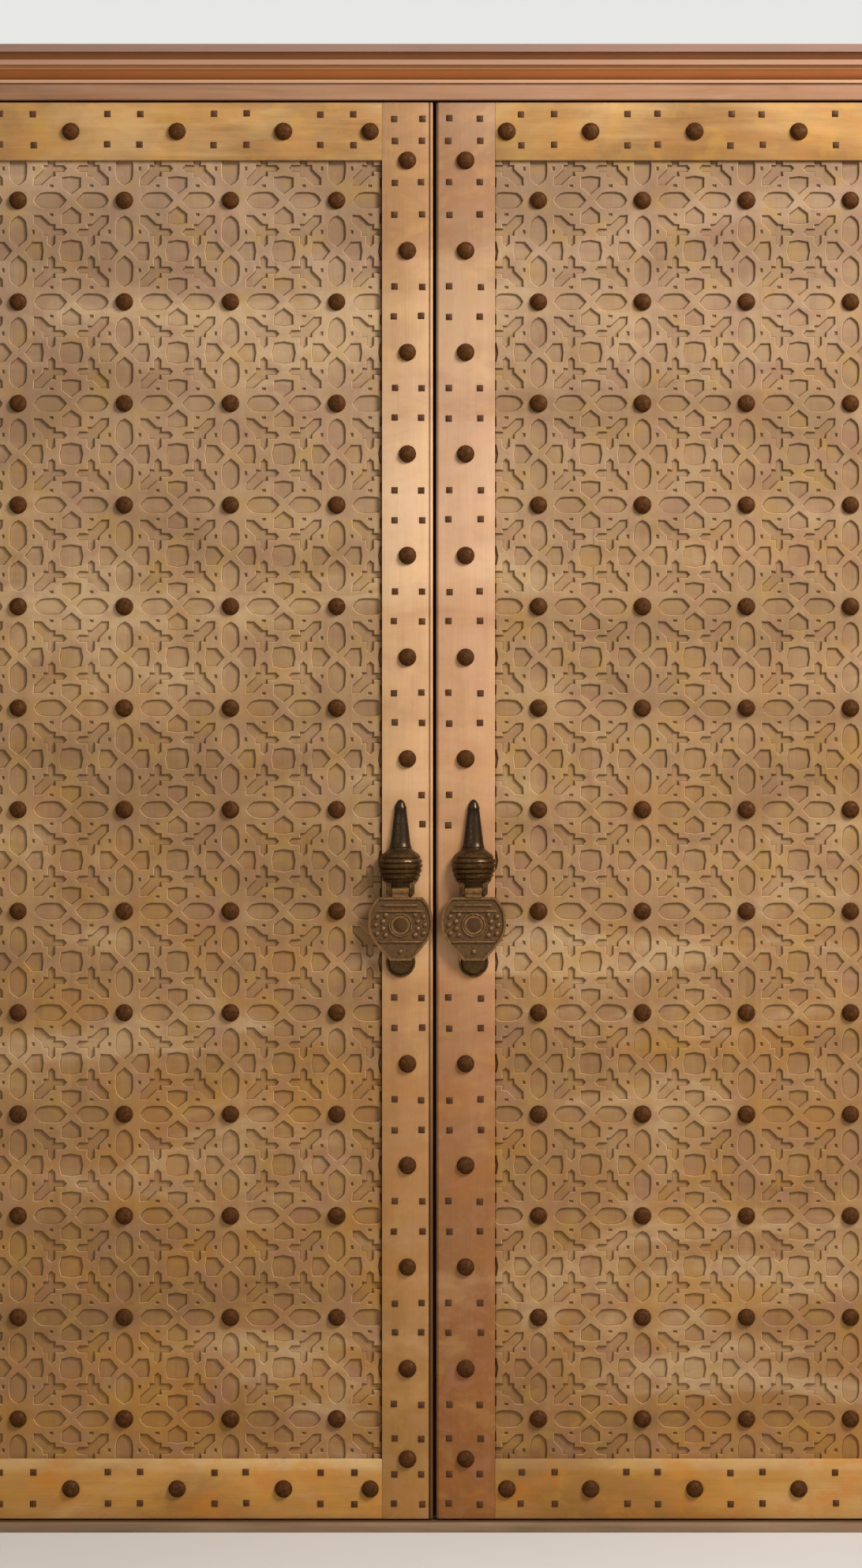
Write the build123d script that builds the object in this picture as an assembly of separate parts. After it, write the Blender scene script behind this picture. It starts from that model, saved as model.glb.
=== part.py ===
from build123d import *
import os

# Carved temple door, in millimetres, with Z up.
# Two leaves turn on iron pivots in a wooden frame and open inward, towards +Y.
# The origin is on the floor, in the middle of the doorway, level with the leaves' front.

# Leaves
leaf_thickness = 60
left_meeting_stile_width = 103
right_meeting_stile_width = 119
left_heel_stile_width = 106.5
right_heel_stile_width = 111
top_rail_height = 117
bottom_rail_height = 121
tenon_length = 60
tenon_thickness = 18
tenon_shoulder = 25
mortise_play = 2
bead_width = 7
bead_quirk = 1.5
edge_chamfer = 5

# Carved panels
stud_rows = 13
stud_columns = 4
row_pitch = 206
row_margin = 80
left_column_pitch = 215.5
left_column_margin = 92
right_column_pitch = 211
right_column_margin = 88.5
panel_setback = 7
panel_thickness = 26
panel_groove_depth = 22
panel_edge_play = 2

# Petal hollows around each stud, as shares of the pitch between studs
petal_heel = 0.155
petal_heel_half_width = 0.066
petal_shoulder = 0.388
petal_shoulder_half_width = 0.087
petal_tip = 0.465
carving_depth = 5
carving_slope = 45

# Ledges on the back of each panel
ledge_count = 4
ledge_height = 110
ledge_chamfer = 8

# Iron studs, drawn with flat sides
stud_radius = 18.5
stud_height = 12
stud_sides = 8
rail_stud_inset = 24

# Frame
jamb_width = 115
head_height = 107
frame_depth = 106
frame_proud = 6
threshold_height = 22
threshold_proud = 10
jamb_tenon_length = 70
jamb_tenon_thickness = 36
jamb_tenon_width = 60

# Moulding on the frame's front
moulding_width = 74
moulding_step = 5
moulding_inner_fillet = 6
moulding_round_width = 20.5
moulding_round_rise = 5
moulding_quirk = 1
moulding_cove_width = 8
moulding_cove_rise = 8
moulding_cove_sag = 2
moulding_shelf_step = 3
moulding_outer_fillet = 10
moulding_slope_width = 13
moulding_projection = 30
moulding_cap_edge = 4
moulding_cap_chamfer = 3

# Gaps
seam_gap = 7
seam_recess_depth = 30
seam_back_gap = 0.3
seam_cant = 0.4
gap_under_leaf = 4
gap_over_leaf = 5
heel_nest = 10
heel_clearance = 3
stop_engagement = 6
stop_lip_depth = 13
stop_gap = 1
stop_headroom = 3

# Pivots
pivot_radius = 12
pivot_length = 45
pivot_running_clearance = 0.05
pivot_mortise_clearance = 2
pivot_end_play = 3
pivot_plate_thickness = 4
pivot_plate_length = 90
pivot_plate_width = 32
heel_plate_margin = 2
pivot_shoe_play = 0.3

# Knockers
left_knocker_inset = 69
right_knocker_inset = 79
knocker_sides = 12
hinge_bar_height = 1299
hinge_bar_radius = 4
hinge_bar_clearance = 0.05
hinge_bar_setback = 17
hinge_bar_drop = 16
spire_length = 101
spire_top_radius = 9
spire_foot_radius = 22
boss_radius = 45.5
boss_height = 69
boss_rib_depth = 3
ear_thickness = 11
ear_depth = 25
ear_foot = 8
disc_thickness = 8
disc_height = 128
disc_half_width = 66
disc_top_half_width = 45
disc_foot_half_width = 21
disc_hole_radius = 15
disc_hole_sides = 8
tongue_width = 34
tongue_play = 0.5
tongue_length = 13
tongue_wall = 4
tongue_sides = 8
striker_radius = 30.5
striker_drop = 4
striker_slope = 25
striker_sides = 8
rest_gap = 0.3

# Draw bolt on the back
bolt_height = 46
bolt_thickness = 30
bolt_travel = 135
bolt_tail = 7
bolt_inset = 12
bolt_ledge = 2
bolt_play = 0.5
bolt_peg_radius = 13
bolt_peg_length = 42
bolt_peg_play = 5
guide_width = 60
guide_wall = 18
guide_inset = 30
guide_span = 300
keeper_inset = 25

# Heights and depths that follow
leaf_bottom = threshold_height + gap_under_leaf
field_bottom = leaf_bottom + bottom_rail_height
first_row = field_bottom + row_margin
last_row = first_row + (stud_rows - 1) * row_pitch
field_top = last_row + row_margin
leaf_top = field_top + top_rail_height
lap_top = leaf_top + gap_over_leaf + stop_engagement
head_bottom = leaf_top + gap_over_leaf
head_rebate_top = lap_top + stop_headroom
frame_top = head_bottom + head_height
frame_front = -frame_proud
frame_back = frame_depth - frame_proud
panel_back = panel_setback + panel_thickness
lap_front = stop_lip_depth + stop_gap
pivot_depth = leaf_thickness / 2
heel_radius = leaf_thickness / 2
boss_foot_height = hinge_bar_height + hinge_bar_drop
spire_foot_height = boss_foot_height + boss_height
spire_top_height = spire_foot_height + spire_length
disc_top_height = hinge_bar_height - tongue_length
disc_foot_height = disc_top_height - disc_height
disc_front = -hinge_bar_setback - disc_thickness / 2
disc_back = -hinge_bar_setback + disc_thickness / 2
striker_height = disc_foot_height - striker_drop
bolt_length = guide_inset + guide_span + guide_width + bolt_travel + bolt_tail - bolt_inset


# A rectangular timber or plate between two corners
def block(x_from, x_to, y_from, y_to, z_from, z_to):
    size = (x_to - x_from, y_to - y_from, z_to - z_from)
    return Pos(x_from, y_from, z_from) * Box(*size, align=(Align.MIN, Align.MIN, Align.MIN))


# A round bar standing on a given height
def upright_bar(x, y, z_from, z_to, radius):
    standing = (Align.CENTER, Align.CENTER, Align.MIN)
    return Pos(x, y, z_from) * Cylinder(radius, z_to - z_from, align=standing)


# A timber of a given section, with points as depth and height, running along X
def timber_along_x(section, x_from, x_to):
    plane = Plane(origin=(x_from, 0, 0), x_dir=(0, 1, 0), z_dir=(1, 0, 0))
    return extrude(plane * make_face(Polyline(*section, close=True)), x_to - x_from)


# A turned form with flat sides, from an outline of radius and height that starts and ends on the axis
def faceted_turning(outline, sides):
    silhouette = outline + [(-radius, height) for radius, height in reversed(outline[1:-1])]
    reach = 4 * max(radius for radius, height in outline)
    slab = extrude(Plane.XZ * make_face(Polyline(*silhouette, close=True)), reach / 2, both=True)
    form = slab
    for step in range(1, sides // 2):
        form = form & (Rot(0, 0, step * 360 / sides) * slab)
    return form


# One leaf's own sizes; every leaf is laid out from its heel at X = 0 and mirrored for the right side
class Leaf:
    def __init__(self, side, meeting_width, heel_width, column_pitch, column_margin, knocker_inset):
        self.side = side
        self.meeting_width = meeting_width
        self.heel_width = heel_width
        self.column_pitch = column_pitch
        self.knocker_inset = knocker_inset
        self.first_column = heel_width + column_margin
        self.last_column = self.first_column + (stud_columns - 1) * column_pitch
        self.meeting_start = self.last_column + column_margin
        self.width = self.meeting_start + meeting_width
        self.knocker_x = self.width + seam_gap / 2 - knocker_inset

    # Puts a piece laid out from the heel into the doorway
    def place(self, piece):
        moved = Pos(-seam_gap / 2 - self.width, 0, 0) * piece
        return moved if self.side == "left" else mirror(moved, about=Plane.YZ)

    def columns(self):
        return [self.first_column + i * self.column_pitch for i in range(stud_columns)]


def rows():
    return [first_row + i * row_pitch for i in range(stud_rows)]


# Heel stile: its outer edge is a half round about the pivot
def heel_stile(leaf):
    far = leaf.heel_width
    section = make_face([
        Line((heel_radius, 0), (far, 0)),
        Line((far, 0), (far, leaf_thickness)),
        Line((far, leaf_thickness), (heel_radius, leaf_thickness)),
        ThreePointArc((heel_radius, leaf_thickness), (0, pivot_depth), (heel_radius, 0)),
    ])
    stile = Pos(0, 0, leaf_bottom) * extrude(section, leaf_top - leaf_bottom)
    stile -= panel_groove(far - panel_groove_depth, far)
    stile -= rail_tenons(far - tenon_length - mortise_play, far)
    socket = pivot_radius + pivot_mortise_clearance
    depth = pivot_length + pivot_end_play
    for socket_from in (leaf_bottom, leaf_top - depth):
        stile -= block(heel_radius - socket, heel_radius + socket,
                       pivot_depth - socket, pivot_depth + socket, socket_from, socket_from + depth)
    for plate_from in heel_plate_heights():
        stile -= heel_plate(plate_from)
    return stile


# An iron plate in the heel stile's end, which starts where the half round is as wide as it is
def heel_plate(z_from):
    half = pivot_plate_width / 2
    start = heel_radius - (heel_radius ** 2 - half ** 2) ** 0.5 + heel_plate_margin
    return block(start, start + pivot_plate_length, pivot_depth - half, pivot_depth + half,
                 z_from, z_from + pivot_plate_thickness)


def heel_plate_heights():
    return (leaf_bottom, leaf_top - pivot_plate_thickness)


# Meeting stile: beaded at the left leaf's edge, chamfered at the right leaf's edge, lapped on top.
# Behind the recess at the seam the leaves all but touch, on edges canted so that no light passes.
def meeting_stile(leaf):
    near, far = leaf.meeting_start, leaf.width
    touching = far + (seam_gap - seam_back_gap) / 2
    lean = seam_cant / 2 if leaf.side == "left" else -seam_cant / 2
    if leaf.side == "left":
        bead = bead_width / 2
        edge = [
            Line((near, 0), (far - bead_width - bead_quirk, 0)),
            Line((far - bead_width - bead_quirk, 0), (far - bead_width - bead_quirk, bead)),
            Line((far - bead_width - bead_quirk, bead), (far - bead_width, bead)),
            ThreePointArc((far - bead_width, bead), (far - bead, 0), (far, bead)),
            Line((far, bead), (far, seam_recess_depth)),
        ]
    else:
        edge = [
            Line((near, 0), (far - edge_chamfer, 0)),
            Line((far - edge_chamfer, 0), (far, edge_chamfer)),
            Line((far, edge_chamfer), (far, seam_recess_depth)),
        ]
    back = [
        Line((far, seam_recess_depth), (touching - lean, seam_recess_depth)),
        Line((touching - lean, seam_recess_depth), (touching + lean, leaf_thickness)),
        Line((touching + lean, leaf_thickness), (near, leaf_thickness)),
        Line((near, leaf_thickness), (near, 0)),
    ]
    stile = Pos(0, 0, leaf_bottom) * extrude(make_face(edge + back), lap_top - leaf_bottom)
    stile -= block(near, far, 0, lap_front, leaf_top, lap_top)
    stile -= panel_groove(near, near + panel_groove_depth)
    stile -= rail_tenons(near, near + tenon_length + mortise_play)
    return stile


# The groove that holds the panel's edge in a stile
def panel_groove(x_from, x_to):
    return block(x_from, x_to, panel_setback, panel_back,
                 field_bottom - panel_groove_depth, field_top + panel_groove_depth)


# The tenons of both rails over a given stretch
def rail_tenons(x_from, x_to):
    y_from = (leaf_thickness - tenon_thickness) / 2
    y_to = y_from + tenon_thickness
    low = block(x_from, x_to, y_from, y_to, leaf_bottom + tenon_shoulder, field_bottom - tenon_shoulder)
    high = block(x_from, x_to, y_from, y_to, field_top + tenon_shoulder, leaf_top - tenon_shoulder)
    return low + high


# The top rail is grooved below for the panel and lapped above, behind the head's stop
def top_rail(leaf):
    section = [
        (0, field_top), (panel_setback, field_top), (panel_setback, field_top + panel_groove_depth),
        (panel_back, field_top + panel_groove_depth), (panel_back, field_top),
        (leaf_thickness, field_top), (leaf_thickness, lap_top), (lap_front, lap_top),
        (lap_front, leaf_top), (0, leaf_top),
    ]
    rail = timber_along_x(section, leaf.heel_width, leaf.meeting_start)
    tenons = rail_tenons(leaf.heel_width - tenon_length, leaf.meeting_start + tenon_length)
    return rail + tenons.solids().sort_by(Axis.Z)[-1]


def bottom_rail(leaf):
    section = [
        (0, leaf_bottom), (leaf_thickness, leaf_bottom), (leaf_thickness, field_bottom),
        (panel_back, field_bottom), (panel_back, field_bottom - panel_groove_depth),
        (panel_setback, field_bottom - panel_groove_depth), (panel_setback, field_bottom),
        (0, field_bottom),
    ]
    rail = timber_along_x(section, leaf.heel_width, leaf.meeting_start)
    tenons = rail_tenons(leaf.heel_width - tenon_length, leaf.meeting_start + tenon_length)
    return rail + tenons.solids().sort_by(Axis.Z)[0]


# One petal hollow that points along X, with its stud at the origin
def petal(along_pitch, across_pitch):
    points = [
        (petal_heel * along_pitch, -petal_heel_half_width * across_pitch),
        (petal_shoulder * along_pitch, -petal_shoulder_half_width * across_pitch),
        (petal_tip * along_pitch, 0),
        (petal_shoulder * along_pitch, petal_shoulder_half_width * across_pitch),
        (petal_heel * along_pitch, petal_heel_half_width * across_pitch),
    ]
    into_wood = Plane(origin=(0, panel_setback, 0), x_dir=(1, 0, 0), z_dir=(0, 1, 0))
    outline = into_wood * make_face(Polyline(*points, close=True))
    return extrude(outline, carving_depth, taper=carving_slope)


# The carved panel: four petal hollows around every stud
def carved_panel(leaf):
    tongue = panel_groove_depth - panel_edge_play
    panel = block(leaf.heel_width - tongue, leaf.meeting_start + tongue, panel_setback, panel_back,
                  field_bottom - tongue, field_top + tongue)
    sideways = petal(leaf.column_pitch, row_pitch)
    upright = petal(row_pitch, leaf.column_pitch)
    petals = []
    for x in leaf.columns():
        for z in rows():
            petals.append(Pos(x, 0, z) * sideways)
            petals.append(Pos(x, 0, z) * Rot(0, 180, 0) * sideways)
            petals.append(Pos(x, 0, z) * Rot(0, 90, 0) * upright)
            petals.append(Pos(x, 0, z) * Rot(0, -90, 0) * upright)
    return panel - petals


# Ledges across the panel's back, flush with the back of the stiles
def ledge_heights():
    step = (field_top - field_bottom) / (ledge_count + 1)
    return [field_bottom + step * (i + 1) for i in range(ledge_count)]


def ledges(leaf):
    half = ledge_height / 2
    pieces = []
    for z in ledge_heights():
        section = [
            (panel_back, z - half), (leaf_thickness - ledge_chamfer, z - half),
            (leaf_thickness, z - half + ledge_chamfer), (leaf_thickness, z + half - ledge_chamfer),
            (leaf_thickness - ledge_chamfer, z + half), (panel_back, z + half),
        ]
        pieces.append(timber_along_x(section, leaf.heel_width, leaf.meeting_start))
    return pieces


# A pointed stud on a face at a given depth
def stud(x, y, z):
    face = Plane(origin=(x, y, z), x_dir=(1, 0, 0), z_dir=(0, -1, 0))
    foot = face * RegularPolygon(stud_radius, stud_sides)
    return loft([foot, Vertex(x, y - stud_height, z)], ruled=True)


def panel_studs(leaf):
    return [stud(x, panel_setback, z) for x in leaf.columns() for z in rows()]


# Studs on the stiles stand halfway between the panel's rows, and at the rails' inner edges
def stile_stud_heights():
    halfway = [z + row_pitch / 2 for z in rows()[:-1]]
    return [field_bottom] + halfway + [field_top]


def border_studs(leaf):
    heel_x = (heel_radius + leaf.heel_width) / 2
    meeting_x = leaf.meeting_start + leaf.meeting_width / 2
    clear_from = striker_height - striker_radius - stud_radius
    clear_to = spire_foot_height + stud_radius
    pieces = [stud(heel_x, 0, z) for z in stile_stud_heights()]
    pieces += [stud(meeting_x, 0, z) for z in stile_stud_heights() if not clear_from < z < clear_to]
    across = [x + leaf.column_pitch / 2 for x in leaf.columns()[:-1]]
    across += [leaf.heel_width + rail_stud_inset, leaf.meeting_start - rail_stud_inset]
    for z in ((leaf_bottom + field_bottom) / 2, (field_top + leaf_top) / 2):
        pieces += [stud(x, 0, z) for x in across]
    return pieces


# Iron plates let into the heel stile's ends, where the pivots turn
def pivot_plates(leaf):
    hole_radius = pivot_radius + pivot_running_clearance
    plates = []
    for z in heel_plate_heights():
        hole = upright_bar(heel_radius, pivot_depth, z, z + pivot_plate_thickness, hole_radius)
        plates.append(heel_plate(z) - hole)
    return plates


# The knocker's casting: a tapering spire on a ribbed boss, with a bar between two ears below
def knocker_boss(leaf):
    rib = boss_height / 7
    foot = boss_foot_height
    outline = [
        (0, foot), (boss_radius * 0.68, foot), (boss_radius * 0.84, foot + rib),
        (boss_radius * 0.95, foot + rib * 2), (boss_radius - boss_rib_depth, foot + rib * 2.4),
        (boss_radius, foot + rib * 3), (boss_radius, foot + rib * 3.8),
        (boss_radius * 0.86, foot + rib * 5.4), (boss_radius * 0.62, foot + rib * 6.4),
        (spire_foot_radius, spire_foot_height),
        (spire_top_radius, spire_top_height - spire_top_radius), (0, spire_top_height),
    ]
    turned = faceted_turning(outline, knocker_sides)
    reach = 2 * boss_radius
    front_half = turned & block(-reach, reach, -reach, 0, 0, spire_top_height + reach)
    ear_in = tongue_width / 2 + tongue_play
    ear_out = ear_in + ear_thickness
    ears = [
        block(x_from, x_to, -ear_depth, 0, hinge_bar_height - ear_foot, foot)
        for x_from, x_to in ((-ear_out, -ear_in), (ear_in, ear_out))
    ]
    bar = hinge_bar_place() * Cylinder(hinge_bar_radius, 2 * ear_in)
    return Pos(leaf.knocker_x, 0, 0) * (front_half + ears + bar)


# The middle of the bar that the disc hangs from, with the bar's length along X
def hinge_bar_place():
    return Pos(0, -hinge_bar_setback, hinge_bar_height) * Rot(0, 90, 0)


# The pierced disc that strikes, with its tongue rolled round the bar
def knocker_disc(leaf):
    right_side = [
        (disc_foot_half_width, 0), (disc_half_width * 0.51, 0.11), (disc_half_width * 0.86, 0.33),
        (disc_half_width, 0.54), (disc_half_width * 0.98, 0.72), (disc_half_width * 0.87, 0.87),
        (disc_top_half_width, 1),
    ]
    right_side = [(x, disc_foot_height + share * disc_height) for x, share in right_side]
    outline = right_side + [(-x, z) for x, z in reversed(right_side)]
    face_plane = Plane(origin=(0, disc_back, 0), x_dir=(1, 0, 0), z_dir=(0, -1, 0))
    plate = extrude(face_plane * make_face(Polyline(*outline, close=True)), disc_thickness)
    hole_height = disc_foot_height + 0.56 * disc_height
    hole_outline = Pos(0, hole_height) * RegularPolygon(disc_hole_radius, disc_hole_sides)
    hole = extrude(face_plane * hole_outline, disc_thickness)
    half = tongue_width / 2
    tongue = block(-half, half, disc_front, disc_back, disc_top_height, hinge_bar_height)
    rolled = Plane(origin=(-half, -hinge_bar_setback, hinge_bar_height), z_dir=(1, 0, 0))
    roll = RegularPolygon(hinge_bar_radius + tongue_wall, tongue_sides, major_radius=False)
    tongue += extrude(rolled * roll, tongue_width)
    eye = hinge_bar_place() * Cylinder(hinge_bar_radius + hinge_bar_clearance, tongue_width)
    return Pos(leaf.knocker_x, 0, 0) * (plate - hole + tongue - eye)


# The boss that the disc strikes
def striker(leaf):
    outline = Plane(origin=(leaf.knocker_x, 0, striker_height), x_dir=(1, 0, 0), z_dir=(0, -1, 0))
    polygon = RegularPolygon(striker_radius, striker_sides)
    return extrude(outline * polygon, -disc_back - rest_gap, taper=striker_slope)


# A bracket over the draw bolt, notched where the bolt slides
def bolt_bracket(x_from, x_to):
    z = ledge_heights()[bolt_ledge - 1]
    half = bolt_height / 2 + bolt_play
    notch_back = leaf_thickness + bolt_thickness + 2 * bolt_play
    section = [
        (leaf_thickness, z - half - guide_wall), (notch_back + guide_wall, z - half - guide_wall),
        (notch_back + guide_wall, z + half + guide_wall), (leaf_thickness, z + half + guide_wall),
        (leaf_thickness, z + half), (notch_back, z + half),
        (notch_back, z - half), (leaf_thickness, z - half),
    ]
    return timber_along_x(section, x_from, x_to)


# Two guides on the right leaf's back
def bolt_guides():
    near = seam_gap / 2 + guide_inset
    return [bolt_bracket(x, x + guide_width) for x in (near, near + guide_span)]


# The keeper on the left leaf's back, which the bolt enters
def bolt_keeper():
    far = -seam_gap / 2 - keeper_inset
    return bolt_bracket(far - guide_width, far)


# The draw bolt, shown drawn back
def draw_bolt():
    z = ledge_heights()[bolt_ledge - 1]
    y = leaf_thickness + bolt_play
    near = seam_gap / 2 + bolt_inset
    half = bolt_height / 2
    return block(near, near + bolt_length, y, y + bolt_thickness, z - half, z + half)


# The peg that the bolt is drawn by
def bolt_peg():
    z = ledge_heights()[bolt_ledge - 1]
    y = leaf_thickness + bolt_play + bolt_thickness
    x = seam_gap / 2 + guide_inset + guide_width + bolt_peg_radius + bolt_peg_play + bolt_travel
    foot = Plane(origin=(x, y, z), x_dir=(1, 0, 0), z_dir=(0, 1, 0))
    return extrude(foot * RegularPolygon(bolt_peg_radius, knocker_sides), bolt_peg_length)


# The doorway is as wide as both leaves, less what their heels reach into the jambs
def jamb_inner_edge(leaf):
    return seam_gap / 2 + leaf.width - heel_nest


# A jamb, hollowed where the leaf's round heel turns and cut back behind it, drawn for the left side
def jamb(leaf):
    inner = -jamb_inner_edge(leaf)
    outer = inner - jamb_width
    axis_x = -seam_gap / 2 - leaf.width + heel_radius
    hollow_radius = heel_radius + heel_clearance
    timber = block(outer, inner, frame_front, frame_back, 0, head_bottom)
    timber -= upright_bar(axis_x, pivot_depth, 0, head_bottom, hollow_radius)
    timber -= block(axis_x - hollow_radius, inner, pivot_depth, frame_back, 0, head_bottom)
    timber += jamb_tenon(outer)
    return timber if leaf.side == "left" else mirror(timber, about=Plane.YZ)


# The tenon that holds a jamb in the head, drawn for the left side
def jamb_tenon(outer):
    x_middle = outer + jamb_width / 2
    y_middle = (frame_front + frame_back) / 2
    return block(x_middle - jamb_tenon_width / 2, x_middle + jamb_tenon_width / 2,
                 y_middle - jamb_tenon_thickness / 2, y_middle + jamb_tenon_thickness / 2,
                 head_bottom, head_bottom + jamb_tenon_length)


# The head: rebated behind its front lip, where the leaves' laps stop
def head_beam(left, right):
    left_inner, right_inner = -jamb_inner_edge(left), jamb_inner_edge(right)
    beam = block(left_inner - jamb_width, right_inner + jamb_width, frame_front, frame_back,
                 head_bottom, frame_top)
    beam -= block(left_inner - heel_nest - heel_clearance, right_inner + heel_nest + heel_clearance,
                  stop_lip_depth, frame_back, head_bottom, head_rebate_top)
    tenon = jamb_tenon(left_inner - jamb_width)
    beam -= tenon
    beam -= mirror(jamb_tenon(-right_inner - jamb_width), about=Plane.YZ)
    for x in pivot_places(left, right):
        beam -= pivot_plate_block(x, head_rebate_top, head_rebate_top + pivot_plate_thickness)
    return beam


def threshold(left, right):
    board = block(-jamb_inner_edge(left), jamb_inner_edge(right), -threshold_proud, frame_back,
                  0, threshold_height)
    for x in pivot_places(left, right):
        board -= pivot_plate_block(x, threshold_height - pivot_plate_thickness, threshold_height)
    return board


# Where the two pivots stand
def pivot_places(left, right):
    return [-seam_gap / 2 - left.width + heel_radius, seam_gap / 2 + right.width - heel_radius]


# A pivot's foot plate, which starts at the jamb's edge and runs towards the doorway's middle
def pivot_plate_block(x, z_from, z_to):
    half = pivot_plate_width / 2
    toward_middle = 1 if x < 0 else -1
    near = x - toward_middle * (heel_radius - heel_nest)
    far = near + toward_middle * pivot_plate_length
    return block(min(near, far), max(near, far), pivot_depth - half, pivot_depth + half,
                 z_from, z_to)


# Forged pivots on the threshold, each on a shoe that carries the leaf
def bottom_pivots(left, right):
    pieces = []
    for x in pivot_places(left, right):
        shoe = pivot_plate_block(x, threshold_height - pivot_plate_thickness,
                                 leaf_bottom - pivot_shoe_play)
        pivot = upright_bar(x, pivot_depth, threshold_height, leaf_bottom + pivot_length, pivot_radius)
        pieces.append(shoe + pivot)
    return pieces


# Forged pivots under the head
def top_pivots(left, right):
    pieces = []
    for x in pivot_places(left, right):
        plate = pivot_plate_block(x, head_rebate_top, head_rebate_top + pivot_plate_thickness)
        pivot = upright_bar(x, pivot_depth, leaf_top - pivot_length, head_rebate_top, pivot_radius)
        pieces.append(plate + pivot)
    return pieces


# The moulding's section: distance out from its inner edge, and projection from the frame's face
def moulding_face(plane):
    a = moulding_inner_fillet
    b = a + moulding_round_width
    c = b + moulding_cove_width
    d = c + moulding_outer_fillet
    e = d + moulding_slope_width
    step = moulding_step
    quirk = step + moulding_quirk
    shelf = step + moulding_cove_rise
    fillet = shelf + moulding_shelf_step
    cap = moulding_projection
    half_way = (quirk + shelf) / 2
    sag = ((b + c) / 2 + moulding_cove_sag / 2, half_way - moulding_cove_sag)
    width = moulding_width
    lines = [
        Line((0, 0), (0, step)),
        Line((0, step), (a, step)),
        ThreePointArc((a, step), ((a + b) / 2, step + moulding_round_rise), (b, step)),
        Line((b, step), (b, quirk)),
        ThreePointArc((b, quirk), sag, (c, shelf)),
        Line((c, shelf), (c, fillet)),
        Line((c, fillet), (d, fillet)),
        Line((d, fillet), (e, cap - moulding_cap_edge)),
        Line((e, cap - moulding_cap_edge), (e, cap)),
        Line((e, cap), (width - moulding_cap_chamfer, cap)),
        Line((width - moulding_cap_chamfer, cap), (width, cap - moulding_cap_chamfer)),
        Line((width, cap - moulding_cap_chamfer), (width, 0)),
        Line((width, 0), (0, 0)),
    ]
    return plane * make_face(lines)


# The head's moulding, mitred at both ends
def head_moulding(left, right):
    x_from = -jamb_inner_edge(left) - jamb_width
    x_to = jamb_inner_edge(right) + jamb_width
    z = frame_top - moulding_width
    plane = Plane(origin=(x_from, frame_front, z), x_dir=(0, 0, 1), z_dir=(1, 0, 0))
    bar = extrude(moulding_face(plane), x_to - x_from)
    bar = split(bar, bisect_by=Plane(origin=(x_from, 0, frame_top), z_dir=(1, 0, 1)), keep=Keep.TOP)
    return split(bar, bisect_by=Plane(origin=(x_to, 0, frame_top), z_dir=(-1, 0, 1)), keep=Keep.TOP)


# A jamb's moulding, mitred at its top, drawn for the left side
def side_moulding(leaf):
    outer = -jamb_inner_edge(leaf) - jamb_width
    plane = Plane(origin=(outer + moulding_width, frame_front, 0), x_dir=(-1, 0, 0), z_dir=(0, 0, 1))
    bar = extrude(moulding_face(plane), frame_top)
    bar = split(bar, bisect_by=Plane(origin=(outer, 0, frame_top), z_dir=(-1, 0, -1)), keep=Keep.TOP)
    return bar if leaf.side == "left" else mirror(bar, about=Plane.YZ)


# Writes one node; several like pieces stay separate solids in it
def save(name, piece):
    solids = piece if isinstance(piece, list) else [piece]
    shape = Compound(children=solids) if len(solids) > 1 else solids[0]
    export_step(shape, "parts/" + name + ".step")


def main():
    os.makedirs("parts", exist_ok=True)
    left = Leaf("left", left_meeting_stile_width, left_heel_stile_width, left_column_pitch,
                left_column_margin, left_knocker_inset)
    right = Leaf("right", right_meeting_stile_width, right_heel_stile_width, right_column_pitch,
                 right_column_margin, right_knocker_inset)
    save("threshold", threshold(left, right))
    save("head_beam", head_beam(left, right))
    save("head_moulding", head_moulding(left, right))
    save("bottom_pivots", bottom_pivots(left, right))
    save("top_pivots", top_pivots(left, right))
    for leaf in (left, right):
        save(leaf.side + "_jamb", jamb(leaf))
        save(leaf.side + "_moulding", side_moulding(leaf))
        for name, make in (
            ("heel_stile", heel_stile), ("meeting_stile", meeting_stile), ("top_rail", top_rail),
            ("bottom_rail", bottom_rail), ("carved_panel", carved_panel), ("ledges", ledges),
            ("panel_studs", panel_studs), ("border_studs", border_studs), ("pivot_plates", pivot_plates),
            ("knocker_boss", knocker_boss), ("knocker_disc", knocker_disc), ("striker", striker),
        ):
            made = make(leaf)
            placed = [leaf.place(piece) for piece in made] if isinstance(made, list) else leaf.place(made)
            save(leaf.side + "_" + name, placed)
    save("bolt_keeper", bolt_keeper())
    save("bolt_guides", bolt_guides())
    save("draw_bolt", draw_bolt())
    save("bolt_peg", bolt_peg())


main()
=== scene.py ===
import math
import random
import bmesh
import bpy
from mathutils import Matrix, Vector


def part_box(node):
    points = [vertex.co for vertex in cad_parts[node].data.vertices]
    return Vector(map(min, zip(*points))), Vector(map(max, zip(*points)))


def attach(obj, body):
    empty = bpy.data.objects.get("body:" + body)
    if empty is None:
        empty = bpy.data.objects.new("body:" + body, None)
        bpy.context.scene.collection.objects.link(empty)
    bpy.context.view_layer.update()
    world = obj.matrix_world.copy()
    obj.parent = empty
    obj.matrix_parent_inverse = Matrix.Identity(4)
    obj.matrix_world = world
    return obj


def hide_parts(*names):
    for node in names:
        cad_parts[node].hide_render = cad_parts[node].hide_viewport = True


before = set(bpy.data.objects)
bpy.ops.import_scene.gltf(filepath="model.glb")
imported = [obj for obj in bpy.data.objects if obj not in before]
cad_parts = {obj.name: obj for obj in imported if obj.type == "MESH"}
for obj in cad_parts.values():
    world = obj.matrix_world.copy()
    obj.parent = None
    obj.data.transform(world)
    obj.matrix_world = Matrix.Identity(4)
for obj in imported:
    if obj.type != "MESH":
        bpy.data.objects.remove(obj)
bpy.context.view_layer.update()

chance = random.Random(7)
sameSpot = 0.00001  # points this close are one
facingFront = Matrix.Rotation(math.radians(90), 4, "X")
alongX = Matrix.Rotation(math.radians(90), 4, "Y")
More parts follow.
